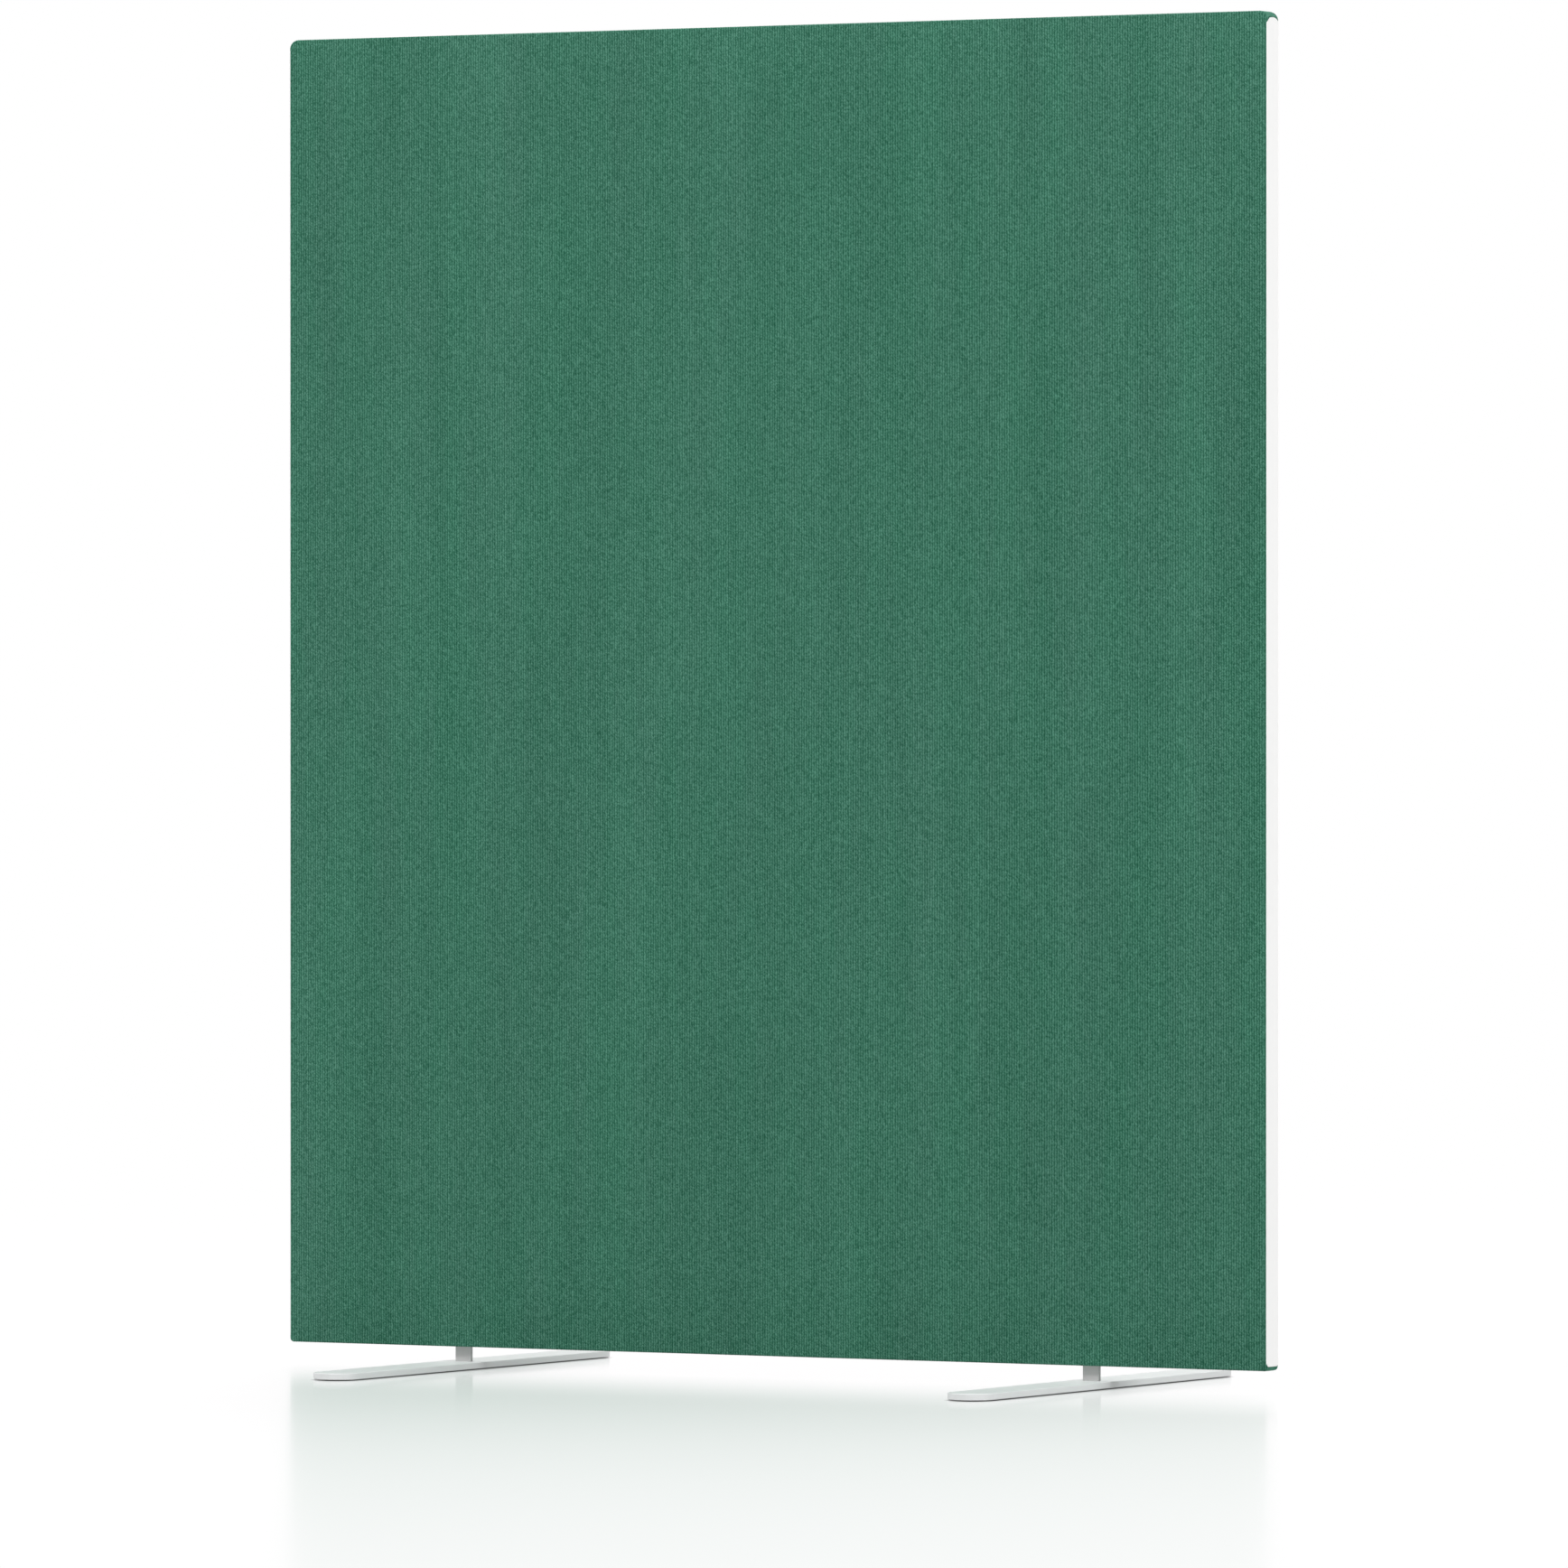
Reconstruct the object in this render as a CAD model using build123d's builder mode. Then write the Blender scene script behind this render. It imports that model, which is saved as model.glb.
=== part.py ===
from build123d import *

import os

# A free-standing acoustic screen: a cloth-covered panel on two flat steel feet.
# X runs along the panel, Y through its thickness and Z up.
# The origin is on the floor, under the panel's centre, and all sizes are in millimetres.

# The panel over its cloth
panel_width = 1400.0
panel_height = 1650.0
panel_thickness = 30.0
panel_lift = 28.0
top_corner_radius = 12.0
bottom_corner_radius = 5.0
panel_edge_radius = 2.0

# The layers of the panel
cloth_thickness = 1.0
felt_thickness = 3.0
bottom_seam_gap = 0.8
bottom_seam_margin = 20.0

# The wooden frame and the slabs in its bays
rail_height = 60.0
stile_width = 60.0
mullion_width = 40.0
slab_gap = 0.4
stile_tenon_width = 30.0
mullion_tenon_width = 24.0
tenon_thickness = 8.0
tenon_length = 25.0
mortise_gap = 0.5

# The end strips, which snap into a groove of the stiles
strip_thickness = 1.2
strip_setback = 0.3
strip_top_drop = 7.7
strip_bottom_rise = 5.3
strip_top_arch = 8.5
strip_bottom_radius = 5.0
strip_edge_radius = 0.8
strip_gap = 0.45
stem_inset = 25.0
stem_core = 2.0
barb_count = 3
barb_pitch = 4.0
barb_reach = 0.9
groove_clearance = 0.1
groove_end_gap = 0.8
hem_gap = 2.0

# The feet
foot_inset = 250.0
foot_length = 660.0
foot_width = 60.0
foot_thickness = 8.0
foot_edge_chamfer = 0.7
glide_radius = 15.0
glide_thickness = 1.2
tongue_width = 22.5
tongue_thickness = 5.0
tongue_tenon_width = 16.0
tongue_lead = 1.2

# The sockets that the tongues plug into
socket_depth = 95.0
socket_wall = 1.5
socket_corner_radius = 1.0
socket_clearance = 0.15
flange_length = 64.0
flange_width = 20.0
flange_thickness = 2.0
flange_corner_radius = 4.0
cloth_slot_clearance = 0.8
block_width = 90.0
block_height = 50.0

# The socket screws
screw_radius = 1.9
screw_head_radius = 3.5
screw_length = 25.0
screw_tip = 4.0
screw_tip_radius = 0.5
screw_spacing = 46.0
screw_clearance = 0.05
screw_angle = 90.0

# The staples of the cloth's hems
staple_crown = 10.0
staple_wire = 0.7
staple_leg = 8.0
staple_row_offset = 7.0
side_staple_pitch = 380.0
bottom_staple_pitch = 220.0

# Places worked out from the sizes above
panel_middle = panel_lift + panel_height / 2
panel_top = panel_lift + panel_height
frame_thickness = panel_thickness - 2 * (cloth_thickness + felt_thickness)
frame_bottom = panel_lift + cloth_thickness
frame_top = panel_top - cloth_thickness
rail_top = frame_bottom + rail_height
rail_underside = frame_top - rail_height
seat_floor = panel_width / 2 - strip_thickness
stile_outside = seat_floor - cloth_thickness
stile_inside = stile_outside - stile_width
strip_width = panel_thickness - 2 * strip_setback
strip_low = panel_lift + strip_bottom_rise
strip_high = panel_top - strip_top_drop
stem_low = strip_low + stem_inset
stem_high = strip_high - stem_inset
stem_length = cloth_thickness + (barb_count + 1) * barb_pitch
groove_width = stem_core + 2 * (barb_reach + groove_clearance)
groove_depth = stem_length - cloth_thickness + groove_end_gap
foot_x = panel_width / 2 - foot_inset
foot_top = glide_thickness + foot_thickness
sleeve_width = tongue_width + 2 * (socket_clearance + socket_wall)
sleeve_thickness = tongue_thickness + 2 * (socket_clearance + socket_wall)
socket_roof = frame_bottom + socket_depth
sleeve_top = socket_roof + socket_wall
block_top = rail_top + block_height
overrun = strip_thickness


def panel_outline(inset):
    """The panel's outline seen from the front, drawn in by inset."""
    with Locations((0, panel_middle)):
        Rectangle(panel_width - 2 * inset, panel_height - 2 * inset)
    fillet(vertices().group_by(Axis.Y)[-1], top_corner_radius - inset)
    fillet(vertices().group_by(Axis.Y)[0], bottom_corner_radius - inset)


def strip_outline(growth):
    """An end strip's outline seen from the end, arched at the top, with growth added all round."""
    half_width = strip_width / 2 + growth
    low = strip_low - growth
    spring = strip_high - strip_top_arch
    with Locations((0, (low + spring) / 2)):
        Rectangle(2 * half_width, spring - low)
    fillet(vertices().group_by(Axis.Y)[0], strip_bottom_radius + growth)
    with Locations((0, spring)):
        Ellipse(half_width, strip_top_arch + growth)


def panel_body(inset):
    """The panel's body with its rounded corners, drawn in by inset all round."""
    with BuildSketch(Plane.XZ) as outline:
        panel_outline(inset)
    extrude(outline.sketch, amount=panel_thickness / 2 - inset, both=True)


def strip_seats(inset):
    """Cuts the shallow seats of both end strips, with the layers above inset left out of them."""
    for side in (-1, 1):
        with BuildSketch(Plane.YZ.offset(side * (seat_floor - inset))) as seat:
            strip_outline(strip_gap + inset)
        extrude(seat.sketch, amount=side * (strip_thickness + overrun), mode=Mode.SUBTRACT)


def upright_block(left, right, low, high, thickness):
    """A block between two places along the panel and two heights, centred on the middle plane."""
    with BuildSketch(Plane.XZ) as outline:
        with Locations(((left + right) / 2, (low + high) / 2)):
            Rectangle(right - left, high - low)
    extrude(outline.sketch, amount=thickness / 2, both=True)


def end_slot(start, depth, width, low, high):
    """Cuts a long slot into both ends of the current part, inwards from start."""
    for side in (-1, 1):
        with BuildSketch(Plane.YZ.offset(side * start)) as slot:
            with Locations((0, (low + high) / 2)):
                Rectangle(width, high - low)
        extrude(slot.sketch, amount=-side * depth, mode=Mode.SUBTRACT)


# The space inside the cloth, which the felts and the frame share
with BuildPart() as filling:
    panel_body(cloth_thickness)
    strip_seats(cloth_thickness)

# The staples lie in the hems, flush with the cloth, with their legs in the wood
side_staple_count = int((rail_underside - rail_top) / side_staple_pitch)
bottom_staple_places = [
    foot_x + (step - 1 / 2) * bottom_staple_pitch
    for step in range(-2, 4)
    if 0 < foot_x + (step - 1 / 2) * bottom_staple_pitch < stile_outside - staple_crown
]

with BuildPart() as staple:
    with BuildSketch(Plane.XZ):
        with Locations((0, -staple_wire / 2)):
            Rectangle(staple_crown, staple_wire)
        with GridLocations(staple_crown - staple_wire, 0, 2, 1):
            with Locations((0, -staple_leg / 2)):
                Rectangle(staple_wire, staple_leg)
    extrude(amount=staple_wire / 2, both=True)

with BuildPart() as hem_staples:
    for side in (-1, 1):
        for row in (-1, 1):
            for number in range(side_staple_count):
                height = rail_top + side_staple_pitch * (number + 1 / 2)
                bed = Plane(
                    origin=(side * seat_floor, row * staple_row_offset, height),
                    x_dir=(0, 0, 1),
                    z_dir=(side, 0, 0),
                )
                with Locations(bed):
                    add(staple.part)
            for place in bottom_staple_places:
                bed = Plane(
                    origin=(side * place, row * staple_row_offset, panel_lift),
                    x_dir=(1, 0, 0),
                    z_dir=(0, 0, -1),
                )
                with Locations(bed):
                    add(staple.part)

# The cloth goes over both faces, the top and the bottom, and its hems turn in under the end strips
with BuildPart() as fabric_cover:
    panel_body(0)
    rims = faces().sort_by(Axis.Y)[0].edges() + faces().sort_by(Axis.Y)[-1].edges()
    fillet(rims, panel_edge_radius)
    strip_seats(0)
    add(filling.part, mode=Mode.SUBTRACT)
    hem_opening = groove_width + 2 * hem_gap
    end_slot(seat_floor, cloth_thickness, hem_opening, stem_low - hem_gap, stem_high + hem_gap)
    with BuildSketch(Plane.XY.offset(panel_lift)):
        Rectangle(panel_width - 2 * bottom_seam_margin, bottom_seam_gap)
        with GridLocations(2 * foot_x, 0, 2, 1):
            Rectangle(
                tongue_width + 2 * cloth_slot_clearance,
                tongue_thickness + 2 * cloth_slot_clearance,
            )
    extrude(amount=cloth_thickness, mode=Mode.SUBTRACT)
    add(hem_staples.part, mode=Mode.SUBTRACT)

# The felts are the filling's outer layers
with BuildPart() as front_felt:
    add(filling.part)
    split(bisect_by=Plane.XZ.offset(frame_thickness / 2), keep=Keep.TOP)

with BuildPart() as rear_felt:
    mirror(front_felt.part, about=Plane.XZ)

# The uprights of the frame are joined to the rails with tenons, clear of the strips' grooves
stile_middle = stile_inside + (stile_width - groove_depth) / 2
tenon_places = [
    (-stile_middle, stile_tenon_width),
    (0, mullion_tenon_width),
    (stile_middle, stile_tenon_width),
]


def mortises():
    """Cuts the mortises of all the frame's tenons from the current part."""
    for centre, width in tenon_places:
        with BuildSketch(Plane.XZ) as mortise:
            with Locations((centre, panel_middle)):
                Rectangle(width, rail_underside - rail_top + 2 * (tenon_length + mortise_gap))
        extrude(mortise.sketch, amount=tenon_thickness / 2, both=True, mode=Mode.SUBTRACT)


def tenons(centre, width):
    """Adds the tenons at both ends of an upright of the frame."""
    upright_block(
        centre - width / 2,
        centre + width / 2,
        rail_top - tenon_length,
        rail_underside + tenon_length,
        tenon_thickness,
    )


def strip_groove():
    """Cuts the groove that the strips' barbed stems snap into from the current part."""
    low, high = stem_low - groove_end_gap, stem_high + groove_end_gap
    end_slot(stile_outside, groove_depth, groove_width, low, high)


# The rails run the whole width over the stiles, and take the panel's rounded corners
with BuildPart() as top_rail:
    upright_block(-panel_width / 2, panel_width / 2, rail_underside, panel_top, frame_thickness)
    add(filling.part, mode=Mode.INTERSECT)
    strip_groove()
    mortises()

with BuildPart() as bottom_rail:
    upright_block(-panel_width / 2, panel_width / 2, panel_lift, rail_top, frame_thickness)
    add(filling.part, mode=Mode.INTERSECT)
    strip_groove()
    mortises()
    add(hem_staples.part, mode=Mode.SUBTRACT)
    with BuildSketch(Plane.XY.offset(frame_bottom)):
        with GridLocations(2 * foot_x, 0, 2, 1):
            RectangleRounded(flange_length, flange_width, flange_corner_radius)
    extrude(amount=flange_thickness, mode=Mode.SUBTRACT)
    with BuildSketch(Plane.XY.offset(frame_bottom)):
        with GridLocations(2 * foot_x, 0, 2, 1):
            RectangleRounded(sleeve_width, sleeve_thickness, socket_corner_radius)
    extrude(amount=rail_height, mode=Mode.SUBTRACT)
    with Locations(Plane.XY.offset(frame_bottom)):
        with GridLocations(2 * foot_x, 0, 2, 1):
            with GridLocations(screw_spacing, 0, 2, 1):
                Cylinder(
                    screw_radius + screw_clearance,
                    screw_length + screw_clearance,
                    align=(Align.CENTER, Align.CENTER, Align.MIN),
                    mode=Mode.SUBTRACT,
                )

with BuildPart() as right_stile:
    upright_block(stile_inside, stile_outside, rail_top, rail_underside, frame_thickness)
    tenons(stile_middle, stile_tenon_width)
    strip_groove()
    add(hem_staples.part, mode=Mode.SUBTRACT)

with BuildPart() as centre_mullion:
    upright_block(-mullion_width / 2, mullion_width / 2, rail_top, rail_underside, frame_thickness)
    tenons(0, mullion_tenon_width)

# The socket's sleeve goes up through the bottom rail into the foot block
with BuildPart() as right_foot_block:
    upright_block(
        foot_x - block_width / 2, foot_x + block_width / 2, rail_top, block_top, frame_thickness
    )
    with BuildSketch(Plane.XY.offset(rail_top)):
        with Locations((foot_x, 0)):
            RectangleRounded(sleeve_width, sleeve_thickness, socket_corner_radius)
    extrude(amount=sleeve_top - rail_top, mode=Mode.SUBTRACT)

with BuildPart() as right_foot_socket:
    with BuildSketch(Plane.XY.offset(frame_bottom)):
        with Locations((foot_x, 0)):
            RectangleRounded(flange_length, flange_width, flange_corner_radius)
    extrude(amount=flange_thickness)
    with BuildSketch(Plane.XY.offset(frame_bottom)):
        with Locations((foot_x, 0)):
            RectangleRounded(sleeve_width, sleeve_thickness, socket_corner_radius)
    extrude(amount=sleeve_top - frame_bottom)
    with BuildSketch(Plane.XY.offset(frame_bottom)):
        with Locations((foot_x, 0)):
            Rectangle(tongue_width + 2 * socket_clearance, tongue_thickness + 2 * socket_clearance)
    extrude(amount=socket_depth, mode=Mode.SUBTRACT)
    with Locations(Plane((foot_x, 0, frame_bottom), x_dir=(1, 0, 0), z_dir=(0, 0, -1))):
        with GridLocations(screw_spacing, 0, 2, 1):
            CounterSinkHole(
                screw_radius + screw_clearance,
                screw_head_radius + screw_clearance,
                flange_thickness,
                screw_angle,
            )

# A wood screw, point up, with its flat head flush with the flange
with BuildPart() as socket_screws:
    with BuildSketch(Plane.XZ) as screw_section:
        with BuildLine():
            Polyline(
                (0, 0),
                (screw_head_radius, 0),
                (screw_radius, screw_head_radius - screw_radius),
                (screw_radius, screw_length - screw_tip),
                (screw_tip_radius, screw_length),
                (0, screw_length),
                (0, 0),
            )
        make_face()
    with Locations(Plane.XY.offset(frame_bottom)):
        with GridLocations(2 * foot_x, 0, 2, 1):
            with GridLocations(screw_spacing, 0, 2, 1):
                add(revolve(screw_section.sketch, axis=Axis.Z, mode=Mode.PRIVATE))


def tongue_bar(width, low, high):
    """A length of flat bar over the foot, between two heights."""
    upright_block(foot_x - width / 2, foot_x + width / 2, low, high, tongue_thickness)


# The tongue is a flat bar with a tenon welded into the foot plate
with BuildPart() as right_foot_tongue:
    tongue_bar(tongue_width, foot_top, socket_roof)
    chamfer(faces().sort_by(Axis.Z)[-1].edges(), tongue_lead)
    tongue_bar(tongue_tenon_width, glide_thickness, foot_top)

with BuildPart() as right_foot_plate:
    with BuildSketch(Plane.XY.offset(glide_thickness)):
        with Locations((foot_x, 0)):
            SlotOverall(foot_length, foot_width, rotation=90)
    extrude(amount=foot_thickness)
    rims = faces().sort_by(Axis.Z)[0].edges() + faces().sort_by(Axis.Z)[-1].edges()
    chamfer(rims, foot_edge_chamfer)
    with BuildSketch(Plane.XY.offset(glide_thickness)):
        with Locations((foot_x, 0)):
            Rectangle(tongue_tenon_width, tongue_thickness)
    extrude(amount=foot_thickness, mode=Mode.SUBTRACT)

# The glides are round pads at the centres of the foot's round ends
with BuildPart() as right_foot_glides:
    with BuildSketch():
        with Locations((foot_x, 0)):
            with GridLocations(0, foot_length - foot_width, 1, 2):
                Circle(glide_radius)
    extrude(amount=glide_thickness)

# The end strip is one profile, a flat face with soft edges and a stem with barbs that grip the groove.
# Its face is cut to rounded ends and its stem is cut shorter.
with BuildPart() as right_edge_strip:
    with BuildSketch(Plane.XY.offset(strip_low)):
        with Locations((seat_floor + strip_thickness / 2, 0)):
            Rectangle(strip_thickness, strip_width)
        fillet(vertices().group_by(Axis.X)[-1], strip_edge_radius)
    extrude(amount=strip_high - strip_low)
    with BuildSketch(Plane.YZ.offset(seat_floor)):
        strip_outline(0)
    extrude(amount=strip_thickness, mode=Mode.INTERSECT)
    with BuildSketch(Plane.XY.offset(stem_low)):
        with BuildLine():
            flank = [(seat_floor, 0), (seat_floor, stem_core / 2)]
            for number in range(barb_count):
                start = stile_outside - (number + 1) * barb_pitch
                flank.append((start, stem_core / 2))
                flank.append((start, stem_core / 2 + barb_reach))
                flank.append((start - barb_pitch / 2, stem_core / 2))
            Polyline(*flank, (seat_floor - stem_length, 0))
            mirror(about=Plane.XZ)
        make_face()
    extrude(amount=stem_high - stem_low)

# The absorbing slabs fill the bays and are notched round the foot blocks
with BuildPart() as right_core_slab:
    upright_block(
        mullion_width / 2 + slab_gap,
        stile_inside - slab_gap,
        rail_top + slab_gap,
        rail_underside - slab_gap,
        frame_thickness,
    )
    with BuildSketch(Plane.XZ):
        with Locations((foot_x, rail_top)):
            Rectangle(
                block_width + 2 * slab_gap,
                block_height + slab_gap,
                align=(Align.CENTER, Align.MIN),
            )
    extrude(amount=frame_thickness, both=True, mode=Mode.SUBTRACT)

pieces = {
    "fabric_cover": fabric_cover,
    "front_felt": front_felt,
    "rear_felt": rear_felt,
    "top_rail": top_rail,
    "bottom_rail": bottom_rail,
    "centre_mullion": centre_mullion,
    "hem_staples": hem_staples,
    "socket_screws": socket_screws,
}

# The pieces that come in pairs, made on the right and mirrored to the left
paired = {
    "core_slab": right_core_slab,
    "stile": right_stile,
    "foot_block": right_foot_block,
    "foot_socket": right_foot_socket,
    "foot_tongue": right_foot_tongue,
    "foot_plate": right_foot_plate,
    "foot_glides": right_foot_glides,
    "edge_strip": right_edge_strip,
}
for name, right in paired.items():
    with BuildPart() as left:
        mirror(right.part, about=Plane.YZ)
    pieces[f"right_{name}"] = right
    pieces[f"left_{name}"] = left

os.makedirs("parts", exist_ok=True)
for name, piece in pieces.items():
    piece.part.label = name
    export_step(piece.part, f"parts/{name}.step")
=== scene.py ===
# %% [markdown]
# # An acoustic divider screen
#
# The screen is a thin upright panel, covered in a green ribbed cloth, on two flat steel feet. A
# white strip closes each of its narrow ends. The solid model already has every piece at its true
# size and place. This script loads it as a fixed frame, dresses the hard pieces in painted steel,
# plastic, wood and bare metal, and makes the soft pieces anew: the cloth, the felt under it and the
# absorbing slabs.

# %% Load the frame
import math

import bmesh
import bpy
import numpy as np
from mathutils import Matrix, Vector, noise


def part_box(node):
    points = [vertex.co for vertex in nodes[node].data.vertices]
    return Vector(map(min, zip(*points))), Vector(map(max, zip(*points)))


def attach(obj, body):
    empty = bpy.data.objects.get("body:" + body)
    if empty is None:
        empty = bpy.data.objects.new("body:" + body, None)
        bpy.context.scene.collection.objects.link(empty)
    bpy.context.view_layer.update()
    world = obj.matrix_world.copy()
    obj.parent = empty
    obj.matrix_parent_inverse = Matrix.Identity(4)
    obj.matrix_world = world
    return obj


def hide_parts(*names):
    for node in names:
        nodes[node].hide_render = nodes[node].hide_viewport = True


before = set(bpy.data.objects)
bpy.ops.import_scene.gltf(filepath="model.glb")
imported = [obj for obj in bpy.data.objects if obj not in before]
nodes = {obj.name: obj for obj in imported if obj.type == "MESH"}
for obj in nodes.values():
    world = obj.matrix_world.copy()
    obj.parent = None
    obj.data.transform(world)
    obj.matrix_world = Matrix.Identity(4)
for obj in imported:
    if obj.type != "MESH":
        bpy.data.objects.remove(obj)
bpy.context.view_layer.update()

scene = bpy.context.scene

# %% [markdown]
# ## The sizes that the new pieces need
#
# A new piece has to sit where its solid sits, so its large sizes come from the solids' boxes. Small
# sizes that a box can't tell, such as a corner's radius, are written where they are first needed.
# Everything is in metres. X runs along the panel, Y through it from front to back, and Z up.

# %% Sizes of the panel
cloth_low, cloth_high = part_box("fabric_cover")
half_width, half_depth = cloth_high.x, cloth_high.y
panel_bottom, panel_top = cloth_low.z, cloth_high.z
print("panel: half as wide as", round(half_width, 4), "and half as thick as", round(half_depth, 4))

# %% [markdown]
# ## The camera
#
# The picture was taken from far away with a long lens, 30 degrees round to the right of the panel's
# front, at the height of the panel's middle. A long lens keeps the panel's edges almost parallel.
# It looks down by less than half a degree.

# %% Set up the camera
VIEW_SIDE = 30.0
VIEW_DOWN = 0.424
VIEW_PLACE = (7.795, -13.475, 0.853)
LENS = 287.98
SENSOR = 36.0
FARTHEST = 200.0

camera_data = bpy.data.cameras.new("long_lens")
camera_data.lens = LENS
camera_data.sensor_width = SENSOR
camera_data.clip_end = FARTHEST
camera = bpy.data.objects.new("camera", camera_data)
camera.location = VIEW_PLACE
camera.rotation_euler = (math.radians(90.0 - VIEW_DOWN), 0.0, math.radians(VIEW_SIDE))
scene.collection.objects.link(camera)
scene.camera = camera
scene.view_settings.view_transform = "Standard"
print("camera", camera.location[:], "lens", camera_data.lens)

# %% [markdown]
# ## Small helpers for building materials
#
# A material in Blender is a tree of nodes. These helpers add a node with its values and links, so
# that each material below reads as a short recipe. Colours are written as on a paint chart, from 0
# to 255, and turned into the linear values that the renderer works with. What fades with distance
# falls by the same share over each equal step.


# %% Helpers for node trees
def paint(red, green, blue):
    """A colour from 0 to 255 as the renderer's linear colour."""
    linear = [((c / 255 + 0.055) / 1.055) ** 2.4 for c in (red, green, blue)]
    return (*linear, 1.0)


def give(tree, sockets, values):
    """Sets each named socket, or links it when its value comes from another socket."""
    for name, value in values.items():
        if isinstance(value, bpy.types.NodeSocket):
            tree.links.new(value, sockets[name])
        else:
            sockets[name].default_value = value


def add_node(tree, kind, inputs=None, **settings):
    """Adds a node, sets it up, and gives it its inputs."""
    made = tree.nodes.new(kind)
    for name, value in settings.items():
        setattr(made, name, value)
    give(tree, made.inputs, inputs or {})
    return made


def calculate(tree, operation, *values):
    """One sum on numbers, as a Math node."""
    return add_node(tree, "ShaderNodeMath", dict(enumerate(values)), operation=operation).outputs[0]


def times(tree, first, second):
    """One number times another."""
    return calculate(tree, "MULTIPLY", first, second)


def fading(tree, distance, reach):
    """1 at no distance, and a bit more than a third at the reach."""
    return calculate(tree, "POWER", math.e, calculate(tree, "DIVIDE", distance, -reach))


def stretched(tree, place, by):
    """A place with each axis times its own factor."""
    made = add_node(tree, "ShaderNodeVectorMath", {0: place, 1: by}, operation="MULTIPLY")
    return made.outputs[0]


def soft_noise(tree, place, size, detail, **more):
    """A noise pattern. More sets its roughness or distortion."""
    inputs = {"Vector": place, "Scale": size, "Detail": detail, **more}
    return add_node(tree, "ShaderNodeTexNoise", inputs).outputs[0]


def mix_colours(tree, share, first, second, way="MIX"):
    """A mix of two colours by a share from 0 to 1."""
    inputs = {0: share, 6: first, 7: second}
    settings = {"data_type": "RGBA", "blend_type": way, "clamp_factor": True}
    return add_node(tree, "ShaderNodeMix", inputs, **settings).outputs[2]


def mix_shaders(tree, share, first, second):
    """A mix of two shader nodes by a share from 0 to 1."""
    inputs = {0: share, 1: first.outputs[0], 2: second.outputs[0]}
    return add_node(tree, "ShaderNodeMixShader", inputs)


WHITE = (1.0, 1.0, 1.0, 1.0)
print("helpers ready, and a paint of 188 is", round(paint(188, 188, 188)[0], 3), "in linear light")

# %% [markdown]
# ## The white surroundings
#
# The screen stands in a white studio. A plain white world does the same as a studio's white cloths
# and boards, with no walls to place. It is full white wherever it is seen, directly or in a
# reflection, and dimmer as light on the object, so that the lamps can shape the form.

# %% White surroundings
SURROUND_LIGHT = 0.34


def seen_share(tree):
    """1 for a ray that sees or mirrors a surface, and 0 for one that only gathers its light."""
    ray = add_node(tree, "ShaderNodeLightPath").outputs
    seen = calculate(tree, "MAXIMUM", ray["Is Camera Ray"], ray["Is Glossy Ray"])
    return calculate(tree, "MAXIMUM", seen, ray["Is Transmission Ray"])


world = bpy.data.worlds.new("white_studio")
scene.world = world
world.use_nodes = True
sky = world.node_tree
sky.nodes.clear()
white = add_node(sky, "ShaderNodeBackground", {"Color": WHITE, "Strength": 1.0})
dim = add_node(sky, "ShaderNodeBackground", {"Color": WHITE, "Strength": SURROUND_LIGHT})
sky_mix = mix_shaders(sky, seen_share(sky), dim, white)
add_node(sky, "ShaderNodeOutputWorld", {"Surface": sky_mix.outputs[0]})
print("surroundings: white where seen, strength", SURROUND_LIGHT, "as light")

# %% [markdown]
# ## The floor
#
# The studio's floor is polished and white. One large square stands for it, with its top at zero,
# where the glides rest. It goes far enough to fill the lower half of any view.

# %% The floor
FLOOR_HALF = 60.0

floor_mesh = bpy.data.meshes.new("floor")
corners = [(x * FLOOR_HALF, y * FLOOR_HALF, 0.0) for x, y in ((-1, -1), (1, -1), (1, 1), (-1, 1))]
floor_mesh.from_pydata(corners, [], [(0, 1, 2, 3)])
floor = bpy.data.objects.new("floor", floor_mesh)
scene.collection.objects.link(floor)
print("floor:", 2 * FLOOR_HALF, "m wide")

# %% [markdown]
# ## How strongly the floor mirrors
#
# A polished floor mirrors most where it is seen at a low angle, which the Layer Weight node's
# Facing tells. In the picture the panel's blurred mirror image is strongest by its left half and
# gets weaker further out, more slowly to the front than to the side. The feet and uprights have a
# clearer image besides, which dies away within a metre of the panel. So the floor gets a share for
# each mirror. A third, much weaker share takes in the screen's own shadow.

# %% Shares of the floor's mirrors and shadow
MIRROR_SHARE = 0.445
MIRROR_REACH = 1.6
MIRROR_SHIFT = (0.2, 0.0, 0.0)
MIRROR_STRETCH = (1.0, 0.6, 0.0)
NEAR_SHARE = 0.35
NEAR_REACH = 0.3
SHADOW_SHARE = 0.10
SHADOW_REACH = 1.5

floor_finish = bpy.data.materials.new("white_floor")
floor_finish.use_nodes = True
ground = floor_finish.node_tree
ground.nodes.clear()
ground_place = add_node(ground, "ShaderNodeTexCoord").outputs["Object"]
grazing = add_node(ground, "ShaderNodeLayerWeight", {"Blend": 0.5}).outputs["Facing"]


def length_of(vector):
    """The length of a vector on the floor."""
    return add_node(ground, "ShaderNodeVectorMath", {0: vector}, operation="LENGTH").outputs[1]


from_centre = add_node(
    ground,
    "ShaderNodeVectorMath",
    {0: ground_place, 1: MIRROR_STRETCH, 2: MIRROR_SHIFT},
    operation="MULTIPLY_ADD",
).outputs[0]
fade = fading(ground, length_of(from_centre), MIRROR_REACH)
mirror_share = times(ground, times(ground, fade, grazing), MIRROR_SHARE)

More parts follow.
